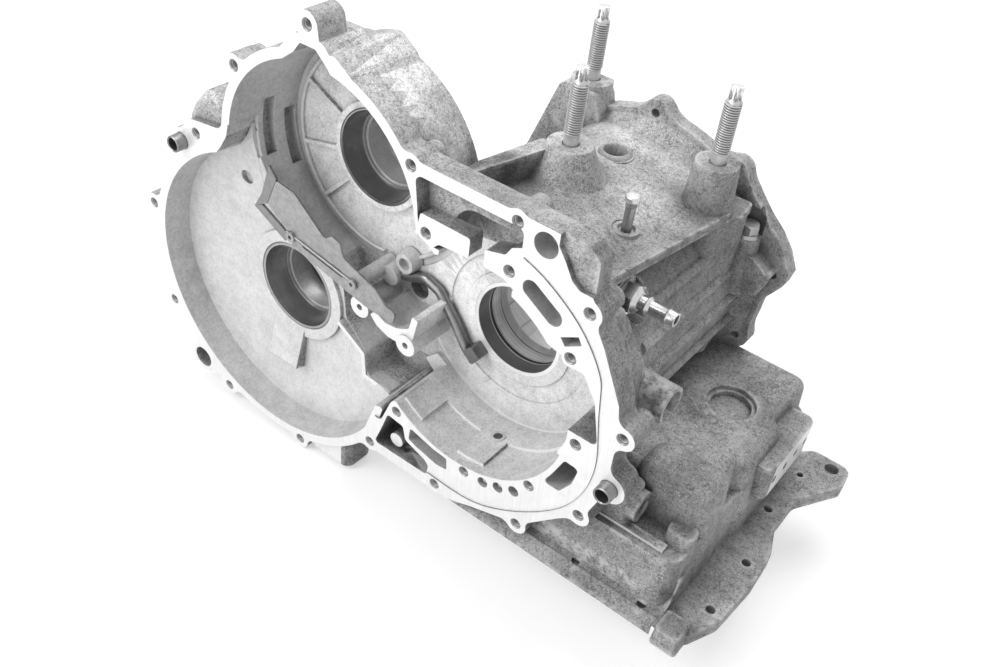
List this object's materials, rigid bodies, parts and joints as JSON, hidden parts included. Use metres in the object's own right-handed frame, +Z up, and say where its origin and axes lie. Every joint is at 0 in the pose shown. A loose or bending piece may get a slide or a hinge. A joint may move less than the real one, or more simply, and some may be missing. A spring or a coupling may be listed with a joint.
{
  "type": "gearbox housing",
  "caption": "Cast aluminium transaxle main case with a machined mating face, gear pockets, a clutch barrel, a pan rail and mount studs.",
  "frame": {"origin": "centre of the front rim of the main shaft bore; the mating face lies 60 mm in front of it, at Y = -0.060", "axes": "+X to the right along the mating face, +Y from the mating face into the case, +Z up along the mount studs"},
  "size_m": [0.5472, 0.241, 0.3825],
  "materials": {
    "cast_aluminium": "as cast, mottled, with bright machined faces",
    "steel_stud": "dull zinc",
    "bright_steel": "bright",
    "bearing_steel": "ground and polished",
    "stamped_steel": "satin",
    "dark_steel": "dark oiled",
    "seal_rubber": "matt"
  },
  "bodies": {
    "root": {"transaxle_case": "cast_aluminium", "mount_studs": "steel_stud", "dowel_sleeves": "dark_steel", "cooler_hose_fitting": "bright_steel", "fitting_seal_washer": "bright_steel", "vent_pipe": "bright_steel", "vent_cap": "bright_steel", "bracket_bolt": "steel_stud", "differential_bearing_cup": "bearing_steel", "differential_preload_shim": "stamped_steel", "differential_oil_seal": "seal_rubber", "idler_bearing_cup": "bearing_steel", "idler_preload_shim": "stamped_steel", "idler_bore_plug": "dark_steel", "main_bore_sleeve": "bearing_steel", "main_bore_snap_ring": "dark_steel", "oil_baffle": "stamped_steel", "baffle_screws": "dark_steel", "lube_pipe": "dark_steel", "lube_pipe_clamp": "dark_steel", "gallery_balls": "bright_steel"}
  },
  "joints": []
}
